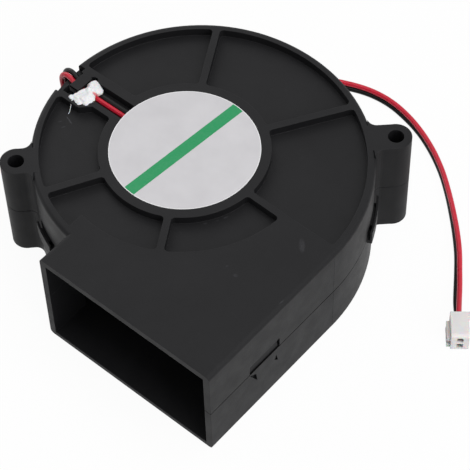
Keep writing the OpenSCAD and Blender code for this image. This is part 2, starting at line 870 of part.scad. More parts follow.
// Points along a blade's curve, offset sideways by s; it starts radial and
// leans towards -Y, the way the wheel turns
function blade_pt(t, s) =
    let (a = 90 - blade_sweep * t)
    [blade_in_r, -blade_curve_r] + (blade_curve_r + s) * [cos(a), sin(a)];

module blade_2d() {
    polygon([for (i = [0:blade_steps]) blade_pt(i / blade_steps, blade_t / 2),
             for (i = [blade_steps:-1:0]) blade_pt(i / blade_steps, -blade_t / 2)]);
}

module impeller() {
    round_r = 1.2;
    color([0.2, 0.2, 0.205]) {
        difference() {
            union() {
                rotate_extrude() {
                    translate([0, wheel_end_z]) square([wheel_hub_r - round_r, 5]);
                    translate([0, wheel_end_z + round_r])
                        square([wheel_hub_r, yoke_top_z - wheel_end_z - round_r]);
                    translate([wheel_hub_r - round_r, wheel_end_z + round_r]) circle(r = round_r);
                }
                translate([0, 0, yoke_top_z - backplate_t]) cylinder(r = wheel_r, h = backplate_t);
            }
            translate([0, 0, yoke_z]) cylinder(r = yoke_r, h = far);
        }
        translate([0, 0, wheel_z]) linear_extrude(yoke_top_z - backplate_t / 2 - wheel_z)
            intersection() {
                circle(r = wheel_r - 0.2);
                for (i = [0:blades - 1]) rotate(360 / blades * i) blade_2d();
            }
        translate([0, 0, wheel_z]) difference() {
            cylinder(r = wheel_r, h = ring_h);
            translate([0, 0, -1]) cylinder(r = wheel_r - ring_w, h = ring_h + 2);
        }
    }
}

// ---------------------------------------------------------------- wires

// A tube of r along a list of points: one ring of sides at each point, square
// to the path there
function unit(v) = v / norm(v);
function heading(pts, i) =
    unit(pts[min(i + 1, len(pts) - 1)] - pts[max(i - 1, 0)]);
function carry(pts, i, side) =
    let (d = heading(pts, i)) unit(side - (side * d) * d);
function frames(pts, first, i = 0, out = []) =
    i == len(pts) ? out
    : frames(pts, first, i + 1, concat(out, [carry(pts, i, i == 0 ? first : out[i - 1])]));

module tube(pts, r, sides, first) {
    sideways = frames(pts, first);
    n = len(pts);
    ring = [for (i = [0:n - 1], k = [0:sides - 1])
        let (d = heading(pts, i), u = sideways[i], v = cross(d, u), a = 360 / sides * (k + 0.5))
        pts[i] + r * (cos(a) * u + sin(a) * v)];
    walls = [for (i = [0:n - 2], k = [0:sides - 1])
        let (a = i * sides + k, b = i * sides + (k + 1) % sides)
        each [[a, a + sides, b + sides], [a, b + sides, b]]];
    polyhedron(ring, concat([[for (k = [0:sides - 1]) k]], walls,
                            [[for (k = [sides - 1:-1:0]) (n - 1) * sides + k]]));
}

// Route of the free red wire: out of the notch, down beside the casing, round
// its back on the surface and up to the connector's upper way
red_route = [[joint_x, -0.95, lead_z], [-38.2, -0.95, lead_z], [-40.6, -0.5, lead_z], [-42.6, 0.1, lead_z],
    [-44.4, 0.3, 31], [-45.8, 0.35, 29.9], [-46.5, 0.4, 28], [-46.6, 0.6, 24.5], [-46.9, 1, 19],
    [-47.4, 1.8, 13], [-48, 3.4, 7.8], [-48.4, 6, 4.1], [-48.7, 9.6, 1.8], [-48.8, 14, 0.8],
    [-48.4, 20, 0.8], [-46.8, 27, 0.8], [-43.6, 34.4, 0.8], [-38.8, 41.4, 0.8], [-32.4, 48, 0.8],
    [-24.6, 53.9, 1.2], [-15.6, 59, 1.9], [-6.6, 63.7, 2.3], [2.4, 67.9, 2.35], [9.4, 70.2, 2.35],
    [16.4, 70.8, 2.35], [23.5, 69.7, 2.35], [30.6, 67.3, 2.35], [37.8, 63.7, 2.35], [44.4, 59.3, 2.35],
    [50.3, 54.4, 2.35], [55.7, 49.4, 2.35], [60.7, 44.4, 2.35], [65.3, 39.2, 2.35], [69.3, 33.9, 2.4],
    [72.6, 29.4, 2.6], [75, 25.9, 3.1], [76.9, 23.1, 3.8], [78.2, 21.2, 4.25], [78.8, 20.4, 4.35],
    [79.6, 19.4, 4.35]];
// The black wire runs beside it, then under it, to the lower way
black_route = [[joint_x, 0.65, lead_z], [-38.2, 0.7, lead_z], [-40.6, 1.2, lead_z], [-42.6, 1.8, lead_z],
    [-44.6, 2.1, 31], [-46.3, 2.2, 29.7], [-47.1, 2.3, 27.4], [-47.1, 2.6, 24], [-46.9, 3.2, 18.4],
    [-46.7, 4.2, 12.6], [-46.5, 6.2, 7.4], [-46.5, 9, 3.9], [-46.6, 12.4, 1.8], [-46.6, 16.4, 0.8],
    [-46.2, 21.4, 0.8], [-44.7, 27.6, 0.8], [-41.7, 34, 0.8], [-37.3, 40.2, 0.8], [-31.3, 46.3, 0.8],
    [-23.6, 52.3, 0.8], [-14.9, 57.8, 0.8], [-6.2, 63, 0.8], [2.6, 67.4, 0.8], [9.5, 69.8, 0.8],
    [16.4, 70.4, 0.8], [23.4, 69.3, 0.8], [30.5, 67.1, 0.8], [37.7, 63.5, 0.8], [44.3, 59.1, 0.8],
    [50.1, 54.2, 0.8], [55.4, 49.1, 0.8], [60.3, 44, 0.8], [64.8, 38.8, 0.8], [68.7, 33.5, 0.8],
    [71.9, 28.9, 0.8], [74.3, 25.5, 0.9], [76.4, 22.9, 1.3], [78, 21.3, 1.75], [78.8, 20.4, 1.85],
    [79.6, 19.4, 1.85]];
tube_sides = 8;

module free_lead(route) {
    tube(route, lead_d / 2, tube_sides, [0, 1, 0]);
}

module red_lead() { color([0.78, 0.12, 0.16]) free_lead(red_route); }
module black_lead() { color([0.1, 0.1, 0.1]) free_lead(black_route); }

// From the solder pad up through the slot in the hub and along the channel
module inner_lead(y) {
    top_z = lead_z;
    foot_z = pcb_z + pcb_t;
    tube([[pad_x, y, foot_z], [pad_x, y, foot_z + 0.3], [pad_x - 0.3, y, top_z - 0.5],
          [pad_x - 0.8, y, top_z - 0.12], [pad_x - 1.6, y, top_z], [joint_x, y, top_z]],
         lead_d / 2, tube_sides, [0, 1, 0]);
}

module red_inner_lead() { color([0.78, 0.12, 0.16]) inner_lead(lead_y[0]); }
module black_inner_lead() { color([0.1, 0.1, 0.1]) inner_lead(lead_y[1]); }

glue_at = [rim_in_x + 6.3, channel_y];
glue_h = recess_depth - 0.15;

// A drop with a flat foot: the upper quarter of an ellipse turned round
module drop(r, h, steps) {
    rotate_extrude() polygon([[0, 0], for (i = [0:steps]) [r * cos(90 * i / steps), h * sin(90 * i / steps)]]);
}

module glue_bead() {
    w = (lead_y[1] - lead_y[0] + lead_d) / 2 + 0.02;
    cut = 0.3 * lead_d;
    color([0.93, 0.93, 0.95]) difference() {
        translate([glue_at[0], glue_at[1], recess_z]) drop(channel_w / 2 - 0.05, glue_h, 5);
        // passage for the pair of wires, open at the foot
        translate([-60, (lead_y[0] + lead_y[1]) / 2, recess_z]) rotate([90, 0, 90])
            linear_extrude(60) polygon([[-w, -1], [-w, lead_d - cut], [cut - w, lead_d],
                                        [w - cut, lead_d], [w, lead_d - cut], [w, -1]]);
    }
}

// ---------------------------------------------------------------- connector

plug_at = [78.8, 20.4, 0];
plug_a = -51;                               // plan angle of the housing's length
way_pitch = 2.5;
way_w = 1.7;

// Height of the upper way (side 1) or the lower one (side -1)
function way_z(side) = (plug_w + side * way_pitch) / 2;

module at_plug() {
    translate(plug_at) rotate(plug_a) children();
}

module connector_housing() {
    rail_t = 1;
    rail_w = 1.3;
    flange_l = 1.6;
    color([0.92, 0.91, 0.9]) at_plug() difference() {
        union() {
            // body, its mating end drawn in a little
            rotate([90, 0, 0]) translate([0, 0, -plug_t / 2]) linear_extrude(plug_t)
                polygon([[0, 0], [plug_l - 1, 0], [plug_l, 0.4], [plug_l, plug_w - 0.4],
                         [plug_l - 1, plug_w], [0, plug_w]]);
            // polarising rails on one wide face
            for (z = [0, plug_w - 2.2 - rail_w])
                translate([1.6, -plug_t / 2 - rail_t, z]) cube([plug_l - 2.6, rail_t + eps, rail_w]);
            // lip at the wire end of the other
            translate([0, plug_t / 2 - eps, plug_w - 1.9]) cube([flange_l, 1.1, 1.9]);
        }
        for (side = [-1, 1])
            translate([-1, -way_w / 2, way_z(side) - way_w / 2]) cube([plug_l + 2, way_w, way_w]);
    }
}

module crimp_terminals() {
    size = 1.2;
    wall = 0.25;
    color([0.8, 0.8, 0.78]) at_plug() for (side = [-1, 1])
        translate([1.4, -size / 2, way_z(side) - size / 2]) difference() {
            cube([plug_l - 2, size, size]);
            translate([-1, wall, wall]) cube([plug_l, size - 2 * wall, size - 2 * wall]);
        }
}

motor_side_housing();
inlet_side_cover();
label();
circuit_board();
driver_chip();
hall_sensor();
capacitor();
winding_pins();
stator_core();
upper_insulator();
lower_insulator();
coil_1();
coil_2();
coil_3();
coil_4();
bearing_tube();
upper_bearing_outer_ring();
upper_bearing_inner_ring();
upper_bearing_balls();
upper_bearing_cage();
upper_bearing_shields();
lower_bearing_outer_ring();
lower_bearing_inner_ring();
lower_bearing_balls();
lower_bearing_cage();
lower_bearing_shields();
preload_spring();
retaining_clip();
shaft();
rotor_bush();
rotor_yoke();
ring_magnet();
impeller();
red_inner_lead();
black_inner_lead();
glue_bead();
red_lead();
black_lead();
connector_housing();
crimp_terminals();
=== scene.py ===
"""A DC blower fan: its leads, its hot glue and every finish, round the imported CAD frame.

Blender works in metres. Places and sizes that are given in mm are multiplied by MM."""

import math

import bmesh
import bpy
from mathutils import Matrix, Vector


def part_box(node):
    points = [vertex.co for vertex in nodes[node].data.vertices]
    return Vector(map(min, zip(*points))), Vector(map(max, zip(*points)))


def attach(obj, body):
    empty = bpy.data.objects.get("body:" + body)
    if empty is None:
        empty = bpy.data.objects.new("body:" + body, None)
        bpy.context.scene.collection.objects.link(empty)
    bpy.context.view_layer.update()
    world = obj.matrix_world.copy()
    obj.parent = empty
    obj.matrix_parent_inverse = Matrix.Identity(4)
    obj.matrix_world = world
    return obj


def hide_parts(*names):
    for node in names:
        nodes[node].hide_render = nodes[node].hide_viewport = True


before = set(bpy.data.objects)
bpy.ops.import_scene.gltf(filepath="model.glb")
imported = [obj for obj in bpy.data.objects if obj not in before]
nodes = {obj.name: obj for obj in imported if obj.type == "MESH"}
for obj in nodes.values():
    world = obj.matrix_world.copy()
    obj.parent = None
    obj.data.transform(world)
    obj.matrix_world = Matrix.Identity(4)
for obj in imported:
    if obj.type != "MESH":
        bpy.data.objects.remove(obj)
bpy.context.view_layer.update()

MM = 0.001

# ---------------------------------------------------------------- camera

# The camera stands CAM_DISTANCE away from the rotor's axis at the casing's top, and then
# moves sideways and down without turning. Angles are in degrees and lengths in mm.
CAM_AZIMUTH = 41.767
CAM_ELEVATION = 52.793
CAM_ROLL = -1.727
CAM_DISTANCE = 518.114
CAM_PIVOT_Z = 33.0
CAM_TO_RIGHT = 13.522
CAM_DOWN = 23.178
CAM_LENS = 147.62995
CAM_SENSOR = 36.0
CAM_NEAREST = 10
CAM_FARTHEST = 10000


def make_camera():
    """The photograph's view, with depth of field off and no shift of the lens."""
    azimuth = math.radians(CAM_AZIMUTH)
    rise = math.radians(CAM_ELEVATION)
    roll = math.radians(CAM_ROLL)
    flat = math.cos(rise)
    back = Vector((math.sin(azimuth) * flat, -math.cos(azimuth) * flat, math.sin(rise)))
    level = Vector((math.cos(azimuth), math.sin(azimuth), 0))
    upright = back.cross(level)
    right = math.cos(roll) * level + math.sin(roll) * upright
    up = -math.sin(roll) * level + math.cos(roll) * upright
    place = CAM_TO_RIGHT * right - CAM_DOWN * up + CAM_DISTANCE * back
    place.z += CAM_PIVOT_Z
    cam = bpy.data.cameras.new("camera")
    cam.sensor_width = CAM_SENSOR
    cam.lens = CAM_LENS
    cam.clip_start = CAM_NEAREST * MM
    cam.clip_end = CAM_FARTHEST * MM
    cam.dof.use_dof = False
    obj = bpy.data.objects.new("camera", cam)
    bpy.context.collection.objects.link(obj)
    turn = Matrix((right, up, back)).transposed().to_4x4()
    obj.matrix_world = Matrix.Translation(place * MM) @ turn
    bpy.context.scene.camera = obj


make_camera()

# ---------------------------------------------------------------- leads

LEAD_D = 1.5 * MM
# Where the leads start inside the glue, in mm
JOINT_X = -34.287
LEAD_Z = 31.25
# Points of each lead's centre line from the glue to the plug, in mm, as in part.scad
RED_ROUTE = [
    (JOINT_X, -0.95, LEAD_Z), (-38.2, -0.95, LEAD_Z), (-40.6, -0.5, LEAD_Z), (-42.6, 0.1, LEAD_Z),
    (-44.4, 0.3, 31), (-45.8, 0.35, 29.9), (-46.5, 0.4, 28), (-46.6, 0.6, 24.5), (-46.9, 1, 19),
    (-47.4, 1.8, 13), (-48, 3.4, 7.8), (-48.4, 6, 4.1), (-48.7, 9.6, 1.8), (-48.8, 14, 0.8),
    (-48.4, 20, 0.8), (-46.8, 27, 0.8), (-43.6, 34.4, 0.8), (-38.8, 41.4, 0.8), (-32.4, 48, 0.8),
    (-24.6, 53.9, 1.2), (-15.6, 59, 1.9), (-6.6, 63.7, 2.3), (2.4, 67.9, 2.35), (9.4, 70.2, 2.35),
    (16.4, 70.8, 2.35), (23.5, 69.7, 2.35), (30.6, 67.3, 2.35), (37.8, 63.7, 2.35),
    (44.4, 59.3, 2.35), (50.3, 54.4, 2.35), (55.7, 49.4, 2.35), (60.7, 44.4, 2.35),
    (65.3, 39.2, 2.35), (69.3, 33.9, 2.4), (72.6, 29.4, 2.6), (75, 25.9, 3.1), (76.9, 23.1, 3.8),
    (78.2, 21.2, 4.25), (78.8, 20.4, 4.35), (79.6, 19.4, 4.35)]
BLACK_ROUTE = [
    (JOINT_X, 0.65, LEAD_Z), (-38.2, 0.7, LEAD_Z), (-40.6, 1.2, LEAD_Z), (-42.6, 1.8, LEAD_Z),
    (-44.6, 2.1, 31), (-46.3, 2.2, 29.7), (-47.1, 2.3, 27.4), (-47.1, 2.6, 24), (-46.9, 3.2, 18.4),
    (-46.7, 4.2, 12.6), (-46.5, 6.2, 7.4), (-46.5, 9, 3.9), (-46.6, 12.4, 1.8), (-46.6, 16.4, 0.8),
    (-46.2, 21.4, 0.8), (-44.7, 27.6, 0.8), (-41.7, 34, 0.8), (-37.3, 40.2, 0.8), (-31.3, 46.3, 0.8),
    (-23.6, 52.3, 0.8), (-14.9, 57.8, 0.8), (-6.2, 63, 0.8), (2.6, 67.4, 0.8), (9.5, 69.8, 0.8),
    (16.4, 70.4, 0.8), (23.4, 69.3, 0.8), (30.5, 67.1, 0.8), (37.7, 63.5, 0.8), (44.3, 59.1, 0.8),
    (50.1, 54.2, 0.8), (55.4, 49.1, 0.8), (60.3, 44, 0.8), (64.8, 38.8, 0.8), (68.7, 33.5, 0.8),
    (71.9, 28.9, 0.8), (74.3, 25.5, 0.9), (76.4, 22.9, 1.3), (78, 21.3, 1.75), (78.8, 20.4, 1.85),
    (79.6, 19.4, 1.85)]
# How finely a wire is stepped between two of its knots, and round its section
STEPS_ALONG = 6
STEPS_ROUND = 5


def curve_piece(name, points, radius, tips=(1, 1)):
    """A smooth round wire through points in mm, its radius scaled by tips at its two ends.

    Each knot's handles run from one neighbour towards the other and reach a third of the way.
    The bevel is 1 deep, so that a knot's radius is the wire's own and the curve's box is true."""
    path = [Vector(point) * MM for point in points]
    data = bpy.data.curves.new(name, "CURVE")
    data.dimensions = "3D"
    data.bevel_depth = 1
    data.bevel_resolution = STEPS_ROUND
    data.resolution_u = STEPS_ALONG
    data.use_fill_caps = True
    spline = data.splines.new("BEZIER")
    last = len(path) - 1
    spline.bezier_points.add(last)
    for i, place in enumerate(path):
        before = path[max(i - 1, 0)]
        after = path[min(i + 1, last)]
        heading = (after - before).normalized()
        knot = spline.bezier_points[i]
        knot.co = place
        knot.handle_left_type = knot.handle_right_type = "FREE"
        knot.handle_left = place - heading * (place - before).length / 3
        knot.handle_right = place + heading * (after - place).length / 3
        share = i / last
        knot.radius = radius * (tips[0] * (1 - share) + tips[1] * share)
    obj = bpy.data.objects.new(name, data)
    bpy.context.collection.objects.link(obj)
    return obj


def free_lead(name, route, node):
    """One of the two leads, which stands for a CAD node and ends in a piece of the plug."""
    lead = curve_piece(name, route, LEAD_D / 2)
    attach(lead, "housing")
    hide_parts(node)
    return lead


red_wire = free_lead("red_wire", RED_ROUTE, "red_lead")
black_wire = free_lead("black_wire", BLACK_ROUTE, "black_lead")

# ---------------------------------------------------------------- glue

# Lumps that the glue ran into: centre and half sizes along x, y and z, in mm
GLUE_LUMPS = [
    (-34.5, 1.3, 32, 2.2, 1.8, 1.5), (-33.3, 0.6, 32, 2.1, 2, 1.5),
    (-34.2, -1, 32.2, 1.9, 2, 1.4), (-33.2, -2.2, 32.5, 2.1, 1.9, 1.1),
    (-33.1, -3.8, 32.8, 2.6, 1.9, 0.95), (-31.9, -3.4, 32.8, 1.5, 1.9, 0.8),
    (-34.7, -5, 32.9, 1.8, 1.7, 0.7), (-36.1, -6, 32.9, 1.3, 0.9, 0.55),
    (-33.6, -6, 32.8, 1.2, 1.3, 0.65), (-31.8, -4.8, 32.8, 1.2, 1.1, 0.6),
    (-35.3, -3.2, 32.8, 1.1, 1.9, 0.6)]
GLUE_VOXEL = 0.13 * MM
# How much each round of softening evens out the skin, and how many rounds there are
GLUE_SOFTNESS = 0.8
GLUE_SOFTEN_ROUNDS = 9
# Wrinkles in the glue's skin: name, how far apart they lie and how deep they are, in mm
GLUE_WRINKLES = [("folds", 2, 0.8), ("ripples", 0.8, 0.18)]
# The thin string that the glue gun drew out of the glue, in mm
GLUE_STRING = [(-35.5, -6.3, 33.1), (-35.2, -7, 32.8), (-34.9, -7.8, 31.8), (-34.5, -8.9, 30.7),
               (-34.3, -9.6, 30.56)]
GLUE_STRING_R = 0.1 * MM
# Its radius at the two ends, in shares of GLUE_STRING_R
GLUE_STRING_TIPS = (1.4, 0.6)


def make_glue():
    """The lumps melted into one skin, softened and wrinkled."""
    lumps = bmesh.new()
    for x, y, z, rx, ry, rz in GLUE_LUMPS:
        place = Matrix.Translation(Vector((x, y, z)) * MM)
        stretch = Matrix.Diagonal((rx * MM, ry * MM, rz * MM, 1))
        bmesh.ops.create_icosphere(lumps, subdivisions=3, radius=1, matrix=place @ stretch)
    mesh = bpy.data.meshes.new("glue")
    lumps.to_mesh(mesh)
    lumps.free()
    obj = bpy.data.objects.new("glue", mesh)
    bpy.context.collection.objects.link(obj)
    joined = obj.modifiers.new("joined", "REMESH")
    joined.mode = "VOXEL"
    joined.voxel_size = GLUE_VOXEL
    joined.use_smooth_shade = True
    soft = obj.modifiers.new("soft", "SMOOTH")
    soft.factor = GLUE_SOFTNESS
    soft.iterations = GLUE_SOFTEN_ROUNDS
    for name, spacing, depth in GLUE_WRINKLES:
        texture = bpy.data.textures.new("glue_" + name, "CLOUDS")
        texture.noise_scale = spacing * MM
        texture.noise_depth = 1
        wrinkle = obj.modifiers.new(name, "DISPLACE")
        wrinkle.texture = texture
        wrinkle.strength = depth * MM
        wrinkle.mid_level = 0.5
    bpy.context.view_layer.objects.active = obj
    obj.select_set(True)
    for modifier in list(obj.modifiers):
        bpy.ops.object.modifier_apply(modifier=modifier.name)
    obj.select_set(False)
    return obj


glue = make_glue()
glue_string = curve_piece("glue_string", GLUE_STRING, GLUE_STRING_R, GLUE_STRING_TIPS)
for piece in (glue, glue_string):
    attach(piece, "housing")
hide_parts("glue_bead")

# ---------------------------------------------------------------- materials

# The Mix node has sockets for every kind of data: these are its factor, two colours and result
MIX_COLOUR_INPUTS = (0, 6, 7)
MIX_COLOUR_OUTPUT = 2
# How steeply a spot rises: it is full at 1 / 2.5 of the way from its skin to its middle
SPOT_STEEPNESS = 2.5
BEVEL_SAMPLES = 6
# How far a rounded edge turns the normal, as 1 minus a cosine, where the edge colour (wear and a
# painted highlight) starts and is full
WEAR_AND_HIGHLIGHT_FROM = 0.01
WEAR_AND_HIGHLIGHT_FULL = 0.16


class Shader:
    """A small builder for one node-based material.

    Textures follow the object's own coordinates in metres, so a noise scale of 1000 has
    patches of about 1 mm, and the depth of a bump is in metres."""

    def __init__(self, name):
        self.material = bpy.data.materials.new(name)
        self.material.use_nodes = True
        self.tree = self.material.node_tree
        self.bsdf = self.tree.nodes["Principled BSDF"]
        self.coord = self.add("ShaderNodeTexCoord").outputs["Object"]

    def add(self, kind, **values):
        """A new node with its plain properties set."""
        node = self.tree.nodes.new(kind)
        for key, value in values.items():
            setattr(node, key, value)
        return node

    def link(self, a, b):
        self.tree.links.new(a, b)

    def noise(self, scale, detail=3.0, roughness=0.55, stretch=None):
        """Cloudy noise around 0.5, finer along an axis where stretch is more than 1."""
        node = self.add("ShaderNodeTexNoise")
        node.inputs["Scale"].default_value = scale
        node.inputs["Detail"].default_value = detail
        node.inputs["Roughness"].default_value = roughness
        source = self.coord
        if stretch:
            mapping = self.add("ShaderNodeMapping")
            mapping.inputs["Scale"].default_value = stretch
            self.link(self.coord, mapping.inputs["Vector"])
            source = mapping.outputs["Vector"]
        self.link(source, node.inputs["Vector"])
        return node.outputs["Fac"]

    def ramp(self, fac, stops):
        """Colours by a factor, from stops of (place, colour)."""
        node = self.add("ShaderNodeValToRGB")
        elements = node.color_ramp.elements
        while len(elements) < len(stops):
            elements.new(0.5)
        for element, (place, colour) in zip(elements, stops):
            element.position = place
            element.color = (*colour, 1)
        self.link(fac, node.inputs["Fac"])
        return node.outputs["Color"]

    def two_tone(self, fac, dark, light):
        """Dark to light over the middle of a noise, where it has its contrast."""
        return self.ramp(fac, [(0.3, dark), (0.7, light)])

    def grey(self, fac, low, high, start=0.3, end=0.7):
        """Values from low to high while the factor goes from start to end."""
        return self.ramp(fac, [(start, (low,) * 3), (end, (high,) * 3)])

    def mix(self, fac, a, b):
        """Colour a where the factor is 0 and b where it is 1."""
        node = self.add("ShaderNodeMix", data_type="RGBA")
        for number, value in zip(MIX_COLOUR_INPUTS, (fac, a, b)):
            socket = node.inputs[number]
            if isinstance(value, (int, float)):
                socket.default_value = value
            elif isinstance(value, tuple):
                socket.default_value = (*value, 1)
            else:
                self.link(value, socket)
        return node.outputs[MIX_COLOUR_OUTPUT]

    def math(self, kind, a, b=0.0):
        """A sum on two sockets or numbers."""
        node = self.add("ShaderNodeMath", operation=kind)
        for socket, value in zip(node.inputs, (a, b)):
            if isinstance(value, (int, float)):
                socket.default_value = value
            else:
                self.link(value, socket)
        return node.outputs[0]

    def axis(self, name):
        """One coordinate of the shaded point."""
        node = self.add("ShaderNodeSeparateXYZ")
        self.link(self.coord, node.inputs[0])
        return node.outputs[name]

    def spot(self, place, sizes, angle=0.0):
        """1 inside an ellipsoid given in mm, falling to 0 towards its skin."""
        mapping = self.add("ShaderNodeMapping", vector_type="TEXTURE")
        mapping.inputs["Location"].default_value = Vector(place) * MM
        mapping.inputs["Rotation"].default_value = (0, 0, math.radians(angle))
        mapping.inputs["Scale"].default_value = Vector(sizes) * MM
        self.link(self.coord, mapping.inputs["Vector"])
        length = self.add("ShaderNodeVectorMath", operation="LENGTH")
        self.link(mapping.outputs["Vector"], length.inputs[0])
        inside = self.math("SUBTRACT", 1.0, length.outputs["Value"])
        rise = self.math("MULTIPLY", inside, SPOT_STEEPNESS)
        return self.math("MINIMUM", self.math("MAXIMUM", rise, 0.0), 1.0)

    def rounded(self, radius):
        """The normal with sharp edges softened, and how strongly it was turned there."""
        bevel = self.add("ShaderNodeBevel", samples=BEVEL_SAMPLES)
        bevel.inputs["Radius"].default_value = radius
        true = self.add("ShaderNodeNewGeometry").outputs["True Normal"]
        dot = self.add("ShaderNodeVectorMath", operation="DOT_PRODUCT")
        self.link(bevel.outputs["Normal"], dot.inputs[0])
        self.link(true, dot.inputs[1])
        turned = self.math("SUBTRACT", 1.0, dot.outputs["Value"])
        return bevel.outputs["Normal"], self.grey(turned, 0.0, 1.0, WEAR_AND_HIGHLIGHT_FROM, WEAR_AND_HIGHLIGHT_FULL)

    def bump(self, height, depth, after=None):
        """A normal with relief of a depth in metres, on top of the normal given as after."""
        node = self.add("ShaderNodeBump")
        node.inputs["Distance"].default_value = depth
        self.link(height, node.inputs["Height"])
        if after is not None:
            self.link(after, node.inputs["Normal"])
        return node.outputs["Normal"]

    def done(self, colour, roughness, normal, **fixed):
        """The finished material; fixed gives other sockets of the shader their plain values."""
        self.link(colour, self.bsdf.inputs["Base Color"])
        if isinstance(roughness, float):
            self.bsdf.inputs["Roughness"].default_value = roughness
        else:
            self.link(roughness, self.bsdf.inputs["Roughness"])
        self.link(normal, self.bsdf.inputs["Normal"])
        for key, value in fixed.items():
            self.bsdf.inputs[key.replace("_", " ")].default_value = value
        return self.material


# Marks of handling on the casing, and in the last three rows a painted glint at the foot of the
# hub's
# # wall: place and half sizes in mm, plan angle in degrees, and how strongly each shows
HANDLING_MARKS_AND_GLINTS = [
    ((-32.6, -11, 30.5), (1.9, 0.22, 0.5), -19, 1.0),
    ((-34.2, -12.9, 30.5), (0.7, 0.18, 0.5), 58, 0.8),
    ((-32.2, -13.9, 30.5), (0.9, 0.2, 0.5), 63, 0.6),
    ((44.8, -5.1, 33), (2.6, 0.9, 0.5), -48, 0.5),
    ((37.8, -23.3, 33), (0.8, 0.6, 0.5), 20, 0.5),
    ((34.2, -22.5, 33), (0.5, 0.3, 0.5), 50, 0.45),
    ((52.1, -22.2, 33), (1, 0.2, 0.5), 84, 0.6),
    # Painted highlights: glints where the foot of the hub's wall catches light
    ((19.5, -14.2, 30.5), (0.7, 0.25, 0.4), 54, 0.7),
    ((21.3, -11.5, 30.5), (0.5, 0.25, 0.4), 62, 0.7),
    ((22.4, -9.2, 30.5), (0.9, 0.25, 0.4), 68, 0.6),
]
# Dust, handling marks and painted glints are this many times as light as the plastic
PALE_TIMES = 5
# How round sharp edges look, and how deep the broad waves in a moulded wall are
EDGE_R = 0.2 * MM
SINK_DEPTH = 0.02 * MM
# The shadow in the fine gap between the casing's halves: its height, half width, and the
# stretch of wall on the duct's side where it shows
PARTING_Z = 16.7 * MM
PARTING_HALF_W = 0.15 * MM
PARTING_FROM_X = 20 * MM
PARTING_TO_Y = 12 * MM
PARTING_SHADOW = (0.0012, 0.0012, 0.0012)


def parting_gap(mat):
    """1 in the fine gap between the casing's halves on the duct's side wall, else 0."""
    distance = mat.math("ABSOLUTE", mat.math("SUBTRACT", mat.axis("Z"), PARTING_Z))
    gap = mat.math("LESS_THAN", distance, PARTING_HALF_W)
    gap = mat.math("MULTIPLY", gap, mat.math("GREATER_THAN", mat.axis("X"), PARTING_FROM_X))
    return mat.math("MULTIPLY", gap, mat.math("LESS_THAN", mat.axis("Y"), PARTING_TO_Y))


def moulded_plastic(name, dark, light, rough=(0.42, 0.55), grain=0.03 * MM, specular=0.5,
                    edge=None, marks=(), parted=False, **fixed):
    """Plastic between two colours, with dust, handling marks, painted glints, worn edges with a
    painted highlight, and a moulded grain.

    edge is the colour of edges, painted lighter for wear and for a highlight, marks has rows like
    HANDLING_MARKS_AND_GLINTS, and parted draws the painted shadow between the casing's halves."""
    mat = Shader(name)
    colour = mat.two_tone(mat.noise(scale=60, detail=4), dark, light)
    pale = tuple(min(1.0, PALE_TIMES * c) for c in light)
    dust = mat.grey(mat.noise(scale=900, detail=2), low=0.0, high=0.1, start=0.66, end=0.82)
    colour = mat.mix(dust, colour, pale)
    # Each row paints a lighter spot: a handling mark, and at the hub's foot a painted highlight
    for place, sizes, angle, strength in marks:
        patchy = mat.grey(mat.noise(scale=1500, detail=2), low=0.2, high=1.0)
        rub_and_glint = mat.math("MULTIPLY", mat.spot(place, sizes, angle), patchy)
        colour = mat.mix(mat.math("MULTIPLY", rub_and_glint, strength), colour, pale)
    normal = None
    # Edges are painted lighter: partly wear, partly a painted highlight where rounded corners catch
    # light
    if edge:
        normal, turned = mat.rounded(EDGE_R)
        uneven = mat.grey(mat.noise(scale=180, detail=3), low=0.1, high=0.6)
        colour = mat.mix(mat.math("MULTIPLY", turned, uneven), colour, edge)
    roughness = mat.grey(mat.noise(scale=220, detail=3), *rough)
    if parted:
        gap = parting_gap(mat)
        colour = mat.mix(gap, colour, PARTING_SHADOW)
        roughness = mat.mix(gap, roughness, (1, 1, 1))
    normal = mat.bump(mat.noise(scale=2600, detail=2, roughness=0.6), grain, after=normal)
    normal = mat.bump(mat.noise(scale=45, detail=1), SINK_DEPTH, after=normal)
    return mat.done(colour, roughness, normal, Specular_IOR_Level=specular, **fixed)


def wire_insulation(name, dark, light, specular):
    """Soft, slightly uneven PVC."""
    mat = Shader(name)
    colour = mat.two_tone(mat.noise(scale=350, detail=3), dark, light)
    roughness = mat.grey(mat.noise(scale=500, detail=2), low=0.26, high=0.4)
    normal = mat.bump(mat.noise(scale=900, detail=2), depth=0.03 * MM)
    return mat.done(colour, roughness, normal, Specular_IOR_Level=specular)


def metal(name, dark, light, rough=(0.2, 0.35), stretch=(1, 1, 30), scale=300):
    """Metal with fine turned lines, which lie across the axis that stretch makes finer."""
    mat = Shader(name)
    lines = mat.noise(scale, detail=3, roughness=0.6, stretch=stretch)
    colour = mat.two_tone(lines, dark, light)
    return mat.done(colour, mat.grey(lines, *rough), mat.bump(lines, depth=0.01 * MM), Metallic=1.0)


LABEL_DARK = (0.585, 0.575, 0.595)
LABEL_LIGHT = (0.635, 0.625, 0.645)
# A thin ring at the film's edge is painted near white
LABEL_EDGE = (0.82, 0.82, 0.83)
LABEL_EDGE_W = 0.22 * MM
# The plain green band across the disc, a little off the Y axis
STRIPE_GREEN = (0.003, 0.27, 0.088)
STRIPE_TILT = math.radians(4.9)
STRIPE_OFFSET = -0.1 * MM
STRIPE_HALF_W = 1.8 * MM


